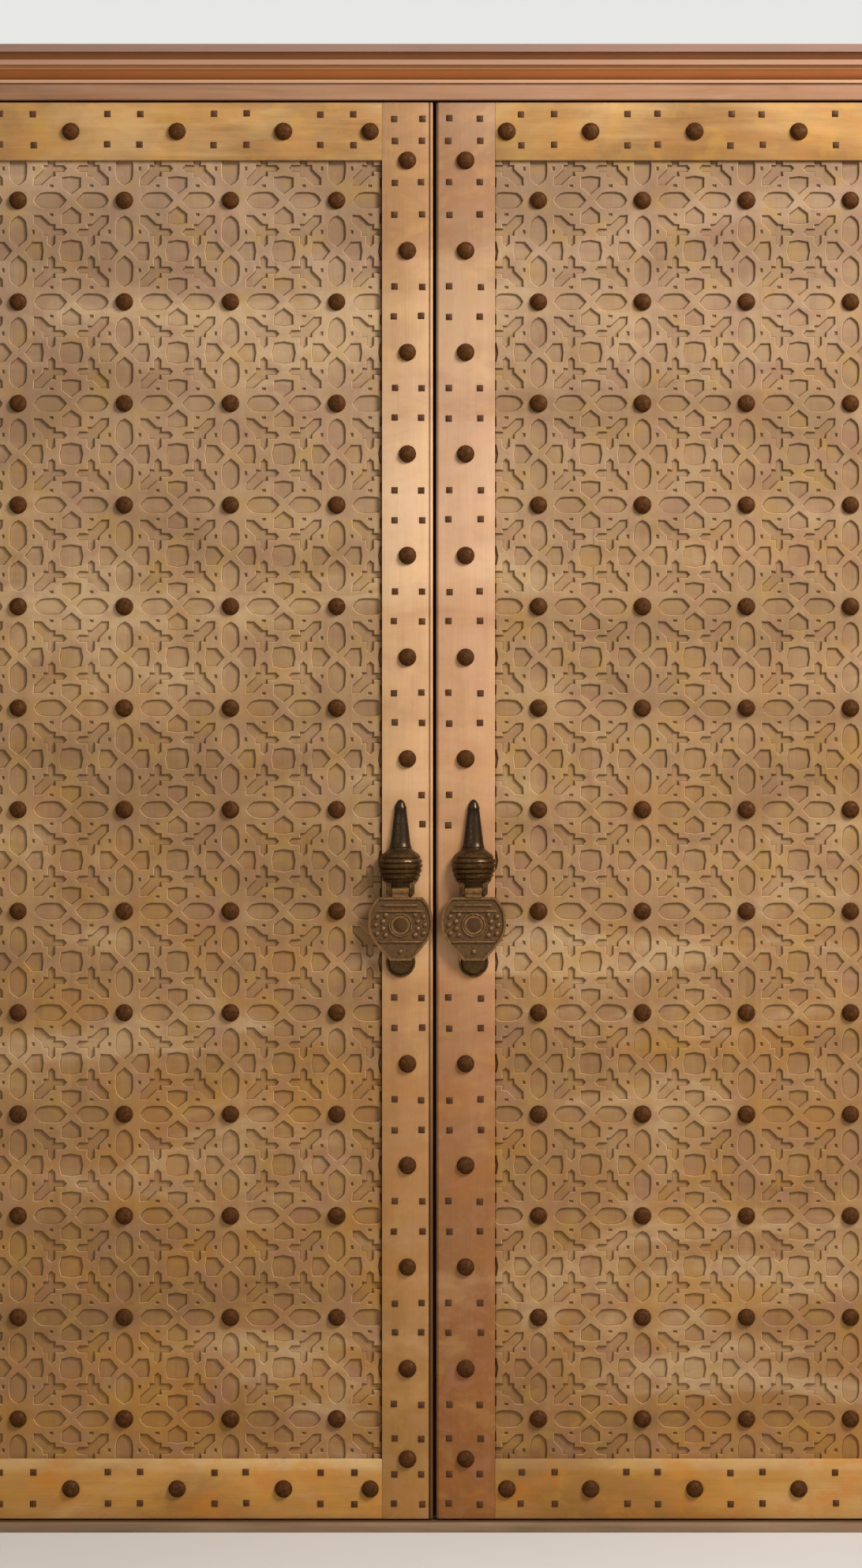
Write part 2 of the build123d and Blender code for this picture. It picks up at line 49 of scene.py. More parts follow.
print("frame loaded")


def shade(red, green, blue):
    # a colour given as 0-255 screen values
    def linear(value):
        value = value / 255
        return value / 12.92 if value <= 0.04045 else ((value + 0.055) / 1.055) ** 2.4
    return (linear(red), linear(green), linear(blue), 1)


def lowCorner(node):
    return Vector(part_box(node)[0])


def highCorner(node):
    return Vector(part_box(node)[1])


def linkObject(name, data):
    item = bpy.data.objects.new(name, data)
    bpy.context.scene.collection.objects.link(item)
    return item


def finishPiece(name, bm, material, body, replaced=(), smoothBelow=0):
    # turns a bmesh into a finished piece that rides on its body
    bmesh.ops.recalc_face_normals(bm, faces=bm.faces)
    mesh = bpy.data.meshes.new(name)
    bm.to_mesh(mesh)
    bm.free()
    mesh.materials.append(material)
    piece = linkObject(name, mesh)
    if smoothBelow:
        mesh.shade_smooth()
        mesh.set_sharp_from_angle(angle=math.radians(smoothBelow))
    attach(piece, body)
    if replaced:
        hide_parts(*replaced)


def nodeTree(owner):
    # the emptied node tree of a material or a world
    owner.use_nodes = True
    tree = owner.node_tree
    tree.nodes.clear()
    return tree


def link(tree, value, socket):
    # joins another node's socket to this one, or sets it to a constant
    if isinstance(value, bpy.types.NodeSocket):
        tree.links.new(value, socket)
    else:
        socket.default_value = value


def addNode(tree, kind, inputs=None, **settings):
    node = tree.nodes.new(kind)
    for key, value in settings.items():
        setattr(node, key, value)
    for key, value in (inputs or {}).items():
        link(tree, value, node.inputs[key])
    return node


def noiseNode(tree, vector, scale, detail=4, roughness=0.55, distortion=0):
    inputs = {"Vector": vector, "Scale": scale, "Detail": detail, "Roughness": roughness,
              "Distortion": distortion}
    return addNode(tree, "ShaderNodeTexNoise", inputs).outputs["Fac"]


def mapped(tree, vector, **inputs):
    # a vector with its Scale, Location or Rotation changed
    return addNode(tree, "ShaderNodeMapping", {"Vector": vector, **inputs}).outputs["Vector"]


def remap(tree, value, fromLow, fromHigh, toLow=0, toHigh=1):
    inputs = {"Value": value, "From Min": fromLow, "From Max": fromHigh, "To Min": toLow, "To Max": toHigh}
    return addNode(tree, "ShaderNodeMapRange", inputs, interpolation_type="SMOOTHSTEP").outputs["Result"]


def calculate(tree, operation, first, second):
    return addNode(tree, "ShaderNodeMath", {0: first, 1: second}, operation=operation).outputs["Value"]


def product(tree, *values):
    result = values[0]
    for value in values[1:]:
        result = calculate(tree, "MULTIPLY", result, value)
    return result


def axes(tree, vector):
    # X, Y and Z of a vector, each on its own
    return addNode(tree, "ShaderNodeSeparateXYZ", {"Vector": vector}).outputs


def between(tree, value, low, high):
    # 1 where the value lies between the two, else 0
    above = calculate(tree, "GREATER_THAN", value, low)
    return product(tree, above, calculate(tree, "LESS_THAN", value, high))


def band(tree, value, rise, fall):
    # rises to 1 and falls back to 0, each over a stretch of the value
    return product(tree, remap(tree, value, *rise), remap(tree, value, *fall, 1, 0))


def apart(tree, value, place):
    # how far the value is from a place
    return calculate(tree, "ABSOLUTE", calculate(tree, "SUBTRACT", value, place), 0)


def mixColour(tree, amount, first, second):
    node = addNode(tree, "ShaderNodeMix", data_type="RGBA")
    colours = [socket for socket in node.inputs if socket.type == "RGBA"]
    for socket, value in zip((node.inputs[0], *colours), (amount, first, second)):
        link(tree, value, socket)
    return [socket for socket in node.outputs if socket.type == "RGBA"][0]


def mixedTowards(tree, colour, targetColour, *shares):
    # the colour mixed towards another, given as screen values, by the product of the shares; it carries real
    # stains and painted shade alike
    return mixColour(tree, product(tree, *shares), colour, shade(*targetColour))


def rampColour(tree, value, stops, stepped=False):
    # a colour that changes along a value, through stops given as (position, colour)
    node = addNode(tree, "ShaderNodeValToRGB", {"Fac": value})
    ramp = node.color_ramp
    if stepped:
        ramp.interpolation = "CONSTANT"
    for index, (position, colour) in enumerate(stops):
        stop = ramp.elements[index] if index < 2 else ramp.elements.new(position)  # a new ramp has two
        stop.position = position
        stop.color = colour
    return node.outputs["Color"]


def newGroup(name, outputs):
    # a shader node group that takes a vector and puts out the named values
    group = bpy.data.node_groups.new(name, "ShaderNodeTree")
    group.interface.new_socket("Vector", in_out="INPUT", socket_type="NodeSocketVector")
    for output in outputs:
        group.interface.new_socket(output, in_out="OUTPUT", socket_type="NodeSocketFloat")
    vector = addNode(group, "NodeGroupInput").outputs["Vector"]
    return group, vector, addNode(group, "NodeGroupOutput").inputs


def makeGrainGroup():
    # streaks, fibres and rare cracks that run along X of the vector it is given
    group, vector, out = newGroup("timberGrain", ("Streaks", "Fibres", "Cracks"))
    long = mapped(group, vector, Scale=(1.3, 8, 8))
    broad = noiseNode(group, long, 1.7, detail=3, roughness=0.5, distortion=0.9)
    thin = mapped(group, vector, Scale=(1.6, 34, 34), Location=(5, 2, 7))
    fine = noiseNode(group, thin, 1.9, detail=6, roughness=0.65, distortion=0.5)
    streaks = calculate(group, "ADD", product(group, broad, 0.5), product(group, fine, 0.5))
    link(group, streaks, out["Streaks"])
    hairs = mapped(group, vector, Scale=(5, 260, 260))
    link(group, noiseNode(group, hairs, 1.6, detail=3), out["Fibres"])
    rare = mapped(group, vector, Scale=(1.1, 55, 55), Location=(3, 1, 2))
    link(group, remap(group, noiseNode(group, rare, 1.3, detail=2, roughness=0.4), 0.76, 0.84), out["Cracks"])
    return group


def makeAgeGroup():
    # broad blotches, smaller patches, fine dust and small dents
    group, vector, out = newGroup("age", ("Blotches", "Patches", "Dust", "Dents"))
    blotches = noiseNode(group, vector, 3.1, detail=5, roughness=0.6)
    link(group, remap(group, blotches, 0.36, 0.66), out["Blotches"])
    patches = noiseNode(group, mapped(group, vector, Location=(4, 9, 2)), 13, detail=4, roughness=0.6)
    link(group, remap(group, patches, 0.4, 0.64), out["Patches"])
    link(group, remap(group, noiseNode(group, vector, 70, detail=5, roughness=0.7), 0.4, 0.75), out["Dust"])
    link(group, noiseNode(group, vector, 38, detail=2), out["Dents"])
    return group


weatherKinds = ("Deep", "Pale", "Warm", "Gold", "Rose")


def makeWeatherGroup():
    # deep and pale bands that lie across the leaves, warm stains that grow towards the floor, and
    # hand-sized patches of gold and rose
    group, vector, out = newGroup("weather", weatherKinds)
    flat = mapped(group, vector, Scale=(0.8, 1, 2.6), Location=(7, 3, 1))
    bands = noiseNode(group, flat, 1.8, detail=6, roughness=0.62, distortion=0.6)
    link(group, remap(group, bands, 0.34, 0.52, 1, 0), out["Deep"])
    link(group, remap(group, bands, 0.5, 0.66), out["Pale"])
    spread = mapped(group, vector, Scale=(1, 1, 1.6), Location=(2, 8, 5))
    stains = noiseNode(group, spread, 4.6, detail=6, roughness=0.66)
    lowDown = remap(group, axes(group, vector)["Z"], 0.1, 2.6, 1, 0.12)
    link(group, product(group, remap(group, stains, 0.48, 0.64), lowDown), out["Warm"])
    small = mapped(group, vector, Scale=(1, 1, 1.2), Location=(6, 4, 9))
    hues = noiseNode(group, small, 17, detail=5, roughness=0.6, distortion=0.4)
    link(group, remap(group, hues, 0.5, 0.68), out["Gold"])
    link(group, remap(group, hues, 0.32, 0.5, 1, 0), out["Rose"])
    return group


grainGroup = makeGrainGroup()
ageGroup = makeAgeGroup()
weatherGroup = makeWeatherGroup()


def placeGroup(tree, group, vector):
    return addNode(tree, "ShaderNodeGroup", {"Vector": vector}, node_tree=group).outputs


def objectVector(tree):
    return addNode(tree, "ShaderNodeTexCoord").outputs["Object"]


def finishMaterial(tree, colour, roughness, height, finish, **constants):
    bump = {"Strength": finish["bump"], "Distance": finish["bumpDepth"], "Height": height}
    bump = addNode(tree, "ShaderNodeBump", bump).outputs["Normal"]
    inputs = {"Base Color": colour, "Roughness": roughness, "Normal": bump, **constants}
    shader = addNode(tree, "ShaderNodeBsdfPrincipled", inputs).outputs["BSDF"]
    addNode(tree, "ShaderNodeOutputMaterial", {"Surface": shader})


# each timber's colours: its dark and light grain, and the tints that its broad blotches and smaller
# patches take; "weather" is the deep, pale, warm, gold and rose tint with an amount each, and "tints"
# are what it takes on at a height, as (height, colour, amount)
timberLooks = {
    "stileTimber": dict(
        upright=True, dark=(168, 122, 80), light=(206, 164, 122),
        blotch=(196, 148, 96), patch=(220, 168, 112),
        weather=((144, 100, 60, 0.4), (230, 192, 146, 0.25), (176, 120, 58, 0.5),
                 (206, 160, 96, 0.2), (190, 138, 116, 0.2)),
        # the pale band round 1.7 to 2.1 m is a painted sheen; low down the tints are darker, painted fall-off
        # of the light, and browner with damp
        tints=((0.1, (158, 114, 50), 0.85), (0.7, (154, 108, 56), 0.7), (1.2, (176, 130, 86), 0.4),
               (1.7, (203, 167, 130), 0.35), (2.1, (226, 196, 164), 0.5), (2.5, (154, 120, 86), 0.62),
               (2.9, (146, 112, 78), 0.65))),
    "rightStileTimber": dict(
        upright=True, dark=(168, 120, 78), light=(204, 160, 118),
        blotch=(196, 144, 104), patch=(216, 154, 104),
        weather=((140, 94, 56, 0.4), (228, 190, 148, 0.25), (164, 102, 46, 0.5),
                 (202, 154, 90, 0.2), (190, 132, 112, 0.2)),
        # the pale band round 1.7 to 2.1 m is a painted sheen; low down the tints are darker, painted fall-off
        # of the light, and browner with damp
        tints=((0.1, (132, 76, 18), 0.85), (0.7, (124, 76, 32), 0.75), (1.2, (164, 118, 80), 0.45),
               (1.7, (185, 149, 116), 0.45), (2.1, (204, 172, 146), 0.55), (2.5, (138, 110, 84), 0.7),
               (2.9, (130, 102, 78), 0.75))),
    "railTimber": dict(
        upright=False, dark=(146, 107, 60), light=(187, 154, 107),
        blotch=(172, 128, 70), patch=(206, 146, 74),
        weather=((116, 76, 32, 0.5), (214, 178, 126, 0.45), (190, 116, 34, 0.6),
                 (190, 146, 60, 0.3), (176, 116, 74, 0.3)),
        tints=((0.05, (190, 130, 32), 0.4), (0.12, (190, 130, 32), 0.4), (0.132, (204, 168, 114), 0.6),
               (0.2, (204, 168, 114), 0.6), (2.5, (184, 146, 94), 0))),
    "carvedTimber": dict(
        upright=True, dark=(138, 104, 70), light=(178, 146, 107),
        blotch=(152, 121, 89), patch=(170, 126, 80),
        weather=((104, 75, 42, 0.42), (204, 175, 134, 0.5), (164, 112, 42, 0.6),
                 (166, 130, 58, 0.4), (146, 104, 88, 0.4)),
        tints=((0.2, (146, 98, 42), 0.6), (1.0, (148, 104, 54), 0.4), (1.8, (164, 133, 97), 0.4),
               (2.6, (164, 140, 120), 0.5))),
    "headTimber": dict(
        upright=False, dark=(132, 92, 60), light=(170, 130, 100),
        blotch=(158, 120, 96), patch=(166, 116, 82)),
    "mouldingTimber": dict(
        upright=False, dark=(112, 64, 24), light=(156, 102, 52),
        blotch=(144, 90, 48), patch=(170, 96, 50)),
    "sillTimber": dict(
        upright=False, dark=(110, 90, 66), light=(158, 132, 102),
        blotch=(134, 108, 84), patch=(142, 104, 84)),
    "backTimber": dict(
        upright=False, dark=(124, 88, 54), light=(168, 128, 86),
        blotch=(146, 104, 66), patch=(158, 108, 62)),
}
timberLooks["jambTimber"] = dict(timberLooks["headTimber"], upright=True)
timberLooks["backUprightTimber"] = dict(timberLooks["backTimber"], upright=True)
# the colour of each member of the moulding, by the distance out from its inner edge: stains on the round and
# the cap, partly painted highlight on the pale fillets and painted shade in the dark band under the cap
moulding = {
    "width": 0.074, "amount": 0.72,
    "stains": ((0, (198, 158, 128)), (0.006, (122, 62, 12)), (0.0265, (190, 140, 98)),
               (0.0345, (174, 140, 116)), (0.0445, (122, 74, 44)), (0.0575, (140, 118, 110))),
}


def addMouldingTonesAndShade(tree, vector, colour):
    # the members of the moulding follow its mitred shape
    at = axes(tree, vector)
    innerX = abs(lowCorner("head_moulding").x) - moulding["width"]
    innerZ = highCorner("head_moulding").z - moulding["width"]
    sideways = calculate(tree, "SUBTRACT", apart(tree, at["X"], 0), innerX)
    out = calculate(tree, "MAXIMUM", sideways, calculate(tree, "SUBTRACT", at["Z"], innerZ))
    stops = [(place / moulding["width"], shade(*targetColour)) for place, targetColour in moulding["stains"]]
    targetColour = rampColour(tree, calculate(tree, "DIVIDE", out, moulding["width"]), stops, stepped=True)
    # the members' tones include painted shade under the cap and painted highlight on the fillets
    return mixColour(tree, moulding["amount"], colour, targetColour)


lapTop = highCorner("left_top_rail").z
# painted shade: the seam, the lap above the leaves and the bead low down are darkened where the gaps between
# the parts are dark
recessShade = {
    "seamHalf": 0.0048, "from": 0.006, "to": 0.05, "colour": (76, 42, 18),
    "lapLow": lapTop - 0.0105, "lapHigh": lapTop + 0.005, "lapReach": 1.06,
    "bead": -0.0075, "beadHalf": 0.0045, "beadFade": (0.6, 1.3), "beadAmount": 0.85,
}


def addRecessShade(tree, vector, colour):
    # painted shade inside the seam, on the lap above the leaves and low down on the bead, where the gaps are
    # dark
    at = axes(tree, vector)
    offMiddle = apart(tree, at["X"], 0)
    nearSeam = product(tree, calculate(tree, "LESS_THAN", offMiddle, recessShade["seamHalf"]),
                       calculate(tree, "LESS_THAN", at["Z"], recessShade["lapHigh"]))
    onLap = product(tree, between(tree, at["Z"], recessShade["lapLow"], recessShade["lapHigh"]),
                    calculate(tree, "LESS_THAN", offMiddle, recessShade["lapReach"]))
    inside = between(tree, at["Y"], recessShade["from"], recessShade["to"])
    darkening = product(tree, calculate(tree, "MAXIMUM", nearSeam, onLap), inside)
    onBead = calculate(tree, "LESS_THAN", apart(tree, at["X"], recessShade["bead"]), recessShade["beadHalf"])
    lowDown = remap(tree, at["Z"], *recessShade["beadFade"], recessShade["beadAmount"], 0)
    darkening = calculate(tree, "MAXIMUM", darkening, product(tree, onBead, lowDown))
    return mixedTowards(tree, colour, recessShade["colour"], darkening)


# painted shade on top of the threshold, where the gap under the leaves is dark
sill = {"topBand": 0.0015, "shadeFrom": -0.036, "shadeTo": -0.018, "amount": 0.9, "colour": (88, 56, 22)}


def addSillShade(tree, vector, colour):
    # painted shade on top of the threshold, close to the leaves, where the gap under them is dark
    at = axes(tree, vector)
    onTop = calculate(tree, "GREATER_THAN", at["Z"], highCorner("threshold").z - sill["topBand"])
    nearLeaves = remap(tree, at["Y"], sill["shadeFrom"], sill["shadeTo"], 0, sill["amount"])
    return mixedTowards(tree, colour, sill["colour"], onTop, nearLeaves)


railBack = {"from": 0.03, "to": 0.044, "amount": 0.6, "colour": (150, 112, 76)}


def addBareBack(tree, vector, colour):
    # the oil of the front isn't on the back
    bare = remap(tree, axes(tree, vector)["Y"], railBack["from"], railBack["to"], 0, railBack["amount"])
    return mixedTowards(tree, colour, railBack["colour"], bare)


tintReach = 3


def addHeightTints(tree, vector, colour, tints):
    # tints that change with the height: damp and dirt near the floor, and on the stiles a painted sheen and
    # painted fall-off of the light
    up = calculate(tree, "DIVIDE", axes(tree, vector)["Z"], tintReach)
    targetColour = rampColour(tree, up, [(height / tintReach, shade(*tone)) for height, tone, amount in tints])
    shares = [(height / tintReach, (amount, amount, amount, 1)) for height, tone, amount in tints]
    return mixColour(tree, rampColour(tree, up, shares), colour, targetColour)


sheltered = {"from": 0.015, "to": 0.03, "share": 0.35}


def addWeather(tree, vector, colour, tints):
    # bands, stains and patches, which are weaker on the sheltered back
    weather = placeGroup(tree, weatherGroup, vector)
    exposed = remap(tree, axes(tree, vector)["Y"], sheltered["from"], sheltered["to"], 1, sheltered["share"])
    for kind, (*targetColour, amount) in zip(weatherKinds, tints):
        colour = mixedTowards(tree, colour, targetColour, weather[kind], amount, exposed)
    return colour


# each part of a hollow is found by the depth, as a share of the full depth
carving = {
    "floor": (110, 80, 44), "floorAmount": 0.14,
    # the walls' colour is painted shade, for the shadow in the hollows
    "wall": (84, 54, 22), "wallShadeAmount": 0.55, "wallRise": (0.1, 0.6), "wallFall": (0.8, 1),
    # the arrises' pale colour is a painted highlight on their lit edges, and partly rubbed wear
    "arris": (208, 176, 130), "arrisRise": (0, 0.03), "arrisFall": (0.1, 0.2),
    "touchScale": 14, "touched": (0.4, 0.62), "rubbedAndLit": (0.05, 0.55),
}


def addCarvedShadeAndHighlight(tree, vector, colour):
    # the hollows' floors are a little darker, their walls take painted shade and their arrises a painted
    # highlight, partly rubbed wear as well
    depth = addNode(tree, "ShaderNodeAttribute", attribute_name="hollow").outputs["Fac"]
    colour = mixedTowards(tree, colour, carving["floor"], depth, carving["floorAmount"])
    wall = band(tree, depth, carving["wallRise"], carving["wallFall"])
    colour = mixedTowards(tree, colour, carving["wall"], wall, carving["wallShadeAmount"])
    edge = band(tree, depth, carving["arrisRise"], carving["arrisFall"])
    touches = noiseNode(tree, vector, carving["touchScale"], detail=3)
    rubbedAndLit = remap(tree, touches, *carving["touched"], *carving["rubbedAndLit"])
    return mixedTowards(tree, colour, carving["arris"], edge, rubbedAndLit)


# where the joints between the panels and the stiles lie, how wide they are and how dark: each is a dark joint
# with a painted shadow of the stile, darker on the side away from the light
panelEdgeShade = {"inner": 0.0018, "colour": (60, 36, 14)}
panelEdgeShades = (
    dict(x=lowCorner("left_meeting_stile").x, width=0.0042, amount=0.9),
    dict(x=highCorner("right_meeting_stile").x, width=0.003, amount=0.5),
    dict(x=highCorner("left_heel_stile").x, width=0.003, amount=0.5),
    dict(x=lowCorner("right_heel_stile").x, width=0.0042, amount=0.9),
)


def addPanelEdgeShade(tree, vector, colour):
    # painted shadow of each stile on the panel beside it, over the dark joint
    x = axes(tree, vector)["X"]
    for edge in panelEdgeShades:
        shadeShare = remap(tree, apart(tree, x, edge["x"]), panelEdgeShade["inner"], edge["width"], edge["amount"], 0)
        colour = mixedTowards(tree, colour, panelEdgeShade["colour"], shadeShare)
    return colour


# what some timbers have of their own, with painted shade in the seam, on the lap and on the sill, and painted
# shade and highlight on the moulding
timberEffects = {
    "stileTimber": (addRecessShade,), "rightStileTimber": (addRecessShade,), "headTimber": (addRecessShade,),
    "railTimber": (addRecessShade, addBareBack), "mouldingTimber": (addMouldingTonesAndShade,),
    "sillTimber": (addSillShade,),
}
# what every timber has: shares of the tints, then the bump of the grain and the shine
timberFinish = {
    "streaks": (0.3, 0.68), "blotches": 0.6, "patches": 0.35, "fibres": 0.2, "fibreColour": (96, 62, 38),
    "cracks": 0.6, "crackColour": (62, 38, 22), "crackDepth": 2, "dentDepth": 1.2,
    "polish": (0.2, 0.8), "rough": (0.84, 0.64), "shine": 0.2, "bump": 0.5, "bumpDepth": 0.0007,
}


def makeTimber(name, look):
    material = bpy.data.materials.new(name)
    tree = nodeTree(material)
    vector = objectVector(tree)
    along = mapped(tree, vector, Rotation=(0, math.radians(90), 0)) if look["upright"] else vector
    grain = placeGroup(tree, grainGroup, along)
    age = placeGroup(tree, ageGroup, vector)
    streaked = remap(tree, grain["Streaks"], *timberFinish["streaks"])
    colour = mixColour(tree, streaked, shade(*look["dark"]), shade(*look["light"]))
    colour = mixedTowards(tree, colour, look["blotch"], age["Blotches"], timberFinish["blotches"])
    colour = mixedTowards(tree, colour, look["patch"], age["Patches"], timberFinish["patches"])
    if "tints" in look:
        colour = addHeightTints(tree, vector, colour, look["tints"])
    if "weather" in look:
        colour = addWeather(tree, vector, colour, look["weather"])
    for effect in timberEffects.get(name, ()):
        colour = effect(tree, vector, colour)
    colour = mixedTowards(tree, colour, timberFinish["fibreColour"], grain["Fibres"], timberFinish["fibres"])
    colour = mixedTowards(tree, colour, timberFinish["crackColour"], grain["Cracks"], timberFinish["cracks"])
    height = grain["Fibres"]
    if name == "carvedTimber":
        # painted shade in the hollows and along the stiles, and a painted highlight on the arrises
        colour = addPanelEdgeShade(tree, vector, addCarvedShadeAndHighlight(tree, vector, colour))
        height = calculate(tree, "ADD", product(tree, age["Dents"], timberFinish["dentDepth"]), height)
    height = calculate(tree, "SUBTRACT", height, product(tree, grain["Cracks"], timberFinish["crackDepth"]))
    roughness = remap(tree, grain["Streaks"], *timberFinish["polish"], *timberFinish["rough"])
    constants = {"Specular IOR Level": timberFinish["shine"]}
    finishMaterial(tree, colour, roughness, height, timberFinish, **constants)
    return material


# each iron's colours and finish
ironLooks = {
    "studIron": dict(
        dark=(33, 16, 2), light=(92, 52, 14), metallic=0, shine=0.1, rough=(0.5, 0.7), dust=0.06),
    "nailIron": dict(
        dark=(50, 27, 8), light=(90, 54, 22), metallic=0, shine=0.2, rough=(0.5, 0.75), dust=0.15),
    "pivotIron": dict(
        dark=(52, 46, 40), light=(96, 86, 76), metallic=0.8, shine=0.5, rough=(0.35, 0.6), dust=0.2),
}
metalFinish = {
    "mottleScale": 150, "mottled": (0.2, 0.8), "worn": (0.35, 0.65),
    "dust": (120, 88, 56), "bump": 0.35, "bumpDepth": 0.0006,
}


def makeMetal(name, look, effect=None):
    material = bpy.data.materials.new(name)
    tree = nodeTree(material)
    vector = objectVector(tree)
    age = placeGroup(tree, ageGroup, vector)
    mottled = noiseNode(tree, vector, metalFinish["mottleScale"], detail=6, roughness=0.7)
    lightness = remap(tree, mottled, *metalFinish["mottled"])
    colour = mixColour(tree, lightness, shade(*look["dark"]), shade(*look["light"]))
    colour = mixedTowards(tree, colour, metalFinish["dust"], age["Dust"], look["dust"])
    if effect:
        colour = effect(tree, vector, colour)
    smooth, rough = look["rough"]
    roughness = remap(tree, mottled, *metalFinish["worn"], rough, smooth)
    constants = {"Metallic": look["metallic"], "Specular IOR Level": look["shine"]}
    finishMaterial(tree, colour, roughness, mottled, metalFinish, **constants)
    return material


materials = {name: makeTimber(name, look) for name, look in timberLooks.items()}
materials.update({name: makeMetal(name, look) for name, look in ironLooks.items()})
print("materials made")


timberNodes = {
    "threshold": ("sillTimber", "frame", "sill_wood"),
    "head_beam": ("headTimber", "frame", "frame_wood"),
    "left_jamb": ("jambTimber", "frame", "frame_wood"),
    "right_jamb": ("jambTimber", "frame", "frame_wood"),
    "bolt_keeper": ("backUprightTimber", "left_leaf", "back_wood"),
    "bolt_guides": ("backUprightTimber", "right_leaf", "back_wood"),
    "draw_bolt": ("backTimber", "bolt", "back_wood"),
    "bolt_peg": ("backTimber", "bolt", "back_wood"),
}
for side, stile in (("left", "stileTimber"), ("right", "rightStileTimber")):
    for part, material, slotName in (
        ("heel_stile", stile, "stile_wood"), ("meeting_stile", stile, "stile_wood"),
        ("top_rail", "railTimber", "rail_wood"), ("bottom_rail", "railTimber", "rail_wood"),
        ("ledges", "backTimber", "back_wood"),
    ):
        timberNodes[side + "_" + part] = (material, side + "_leaf", slotName)
arris = {"width": 0.0012, "segments": 2, "sharpFrom": 30, "flatWithin": 1, "smoothBelow": 35}


def wearTimber(node, material, body):
    # the CAD's own shape with its sharp arrises worn
    bm = bmesh.new()
    bm.from_mesh(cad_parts[node].data)
    bmesh.ops.remove_doubles(bm, verts=bm.verts, dist=sameSpot)
    flat, sharp = math.radians(arris["flatWithin"]), math.radians(arris["sharpFrom"])
    bmesh.ops.dissolve_limit(bm, angle_limit=flat, verts=bm.verts, edges=bm.edges)
    worn = [edge for edge in bm.edges if len(edge.link_faces) == 2 and edge.calc_face_angle() > sharp]
    bmesh.ops.bevel(bm, geom=worn, offset=arris["width"], segments=arris["segments"], profile=0.5,
                    affect="EDGES", material=-1, clamp_overlap=True)
    finishPiece(node + "_worn", bm, material, body, replaced=(node,),
                smoothBelow=arris["smoothBelow"])


for node, (material, body, slotName) in timberNodes.items():
    wearTimber(node, materials[material], body)

# nodes that keep the CAD's shape and only take a material
cadFinishes = {
    "mouldingTimber": ("head_moulding", "left_moulding", "right_moulding"),
    "pivotIron": ("bottom_pivots", "top_pivots", "left_pivot_plates", "right_pivot_plates"),
}
for material, nodes in cadFinishes.items():
    for node in nodes:
        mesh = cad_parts[node].data
        mesh.materials.clear()
        mesh.materials.append(materials[material])
print("timbers finished")


leaves = {
    "left": dict(side=-1, pitch=0.2155, firstStud=0.1985),
    "right": dict(side=1, pitch=0.211, firstStud=0.211),
}
studs = {
    "rows": 13, "columns": 4, "rowPitch": 0.206, "firstRow": 0.227, "rowMargin": 0.08,
    "radius": 0.0185, "height": 0.012, "segments": 14, "smoothBelow": 60,
}
panel = {
    "front": 0.007, "back": 0.033, "depth": 0.005, "waver": 0.0004, "margin": 0.12,
    # each pass goes in from the outline and down, as shares of the full width and depth
    "passes": ((0.16, 0.1), (0.54, 0.78), (0.3, 0.12)),
    "wall": 0.0046, "pitWall": 0.0024, "pitDepth": 0.003,
}
# the hollows of a cell with a stud at each corner, in shares of its size: half outlines from the end that
# is nearest to the stud, a quarter of the square in the middle and the corners of a pit
cell = {
    "petal": ((0.142, 0), (0.166, 0.044), (0.205, 0.076), (0.26, 0.087), (0.35, 0.088), (0.395, 0.08),
              (0.432, 0.042), (0.466, 0)),
    "square": ((0.117, 0), (0.098, 0.098)),
    "shield": ((0.052, 0), (0.127, 0.096), (0.231, 0.098), (0.245, 0)),
    "fork": ((0.14, 0.14), (0.223, 0.143), (0.308, 0.227), (0.357, 0.231), (0.354, 0.273), (0.43, 0.273),
             (0.465, 0.315), (0.43, 0.354), (0.354, 0.354)),
    "pit": ((0.289, 0.125), (0.334, 0.125), (0.334, 0.159), (0.289, 0.159)),
}


def quarterTurns(points):
    # the same outline, turned about the middle of the cell
    turned = []
    for step in range(4):
        turned.append(points)
        points = [(1 - v, u) for u, v in points]
    return turned


def mirroredAcross(half):
    # closes a half outline that starts and ends on its own axis
    return list(half) + [(u, -v) for u, v in reversed(half[1:-1])]


def cellHollows():
    # every hollow of one cell, as (outline, is it a small pit)
    petal = mirroredAcross(cell["petal"])
    hollows = [
        (petal, False), ([(1 - u, v) for u, v in petal], False),
        ([(v, u) for u, v in petal], False), ([(v, 1 - u) for u, v in petal], False),
    ]
    square = []
    for step in range(4):
        for u, v in cell["square"]:
            for turn in range(step):
                u, v = -v, u
            square.append((0.5 + u, 0.5 + v))
    hollows.append((square, False))
    shield = [(0.5 + v, u) for u, v in mirroredAcross(cell["shield"])]
    fork = list(cell["fork"]) + [(v, u) for u, v in reversed(cell["fork"][1:-1])]
    mirroredPit = [(1 - u, v) for u, v in cell["pit"]]
    for outline, small in ((shield, False), (fork, False), (cell["pit"], True), (mirroredPit, True)):
        hollows += [(turned, small) for turned in quarterTurns(outline)]
    return hollows


def panelHollows(leaf, low, high):
    # the outlines, in metres, of every hollow that reaches into the panel
    found = []
    oneCell = cellHollows()
    for column in range(-1, studs["columns"]):
        for row in range(-1, studs["rows"]):
            for outline, small in oneCell:
                points = [
                    (leaf["side"] * (leaf["firstStud"] + (column + u) * leaf["pitch"]),
                     studs["firstRow"] + (row + v) * studs["rowPitch"])
                    for u, v in outline
                ]
                if max(x for x, z in points) < low.x or min(x for x, z in points) > high.x:
                    continue
                if max(z for x, z in points) < low.z or min(z for x, z in points) > high.z:
                    continue
                found.append((points, small))
    return found


def closedLoop(bm, points, y, waver=0):
    # a ring of edges at one depth, its points a little off
    verts = [bm.verts.new((x + chance.uniform(-waver, waver), y, z + chance.uniform(-waver, waver)))
             for x, z in points]
    return verts, [bm.edges.new((verts[i - 1], verts[i])) for i in range(len(verts))]


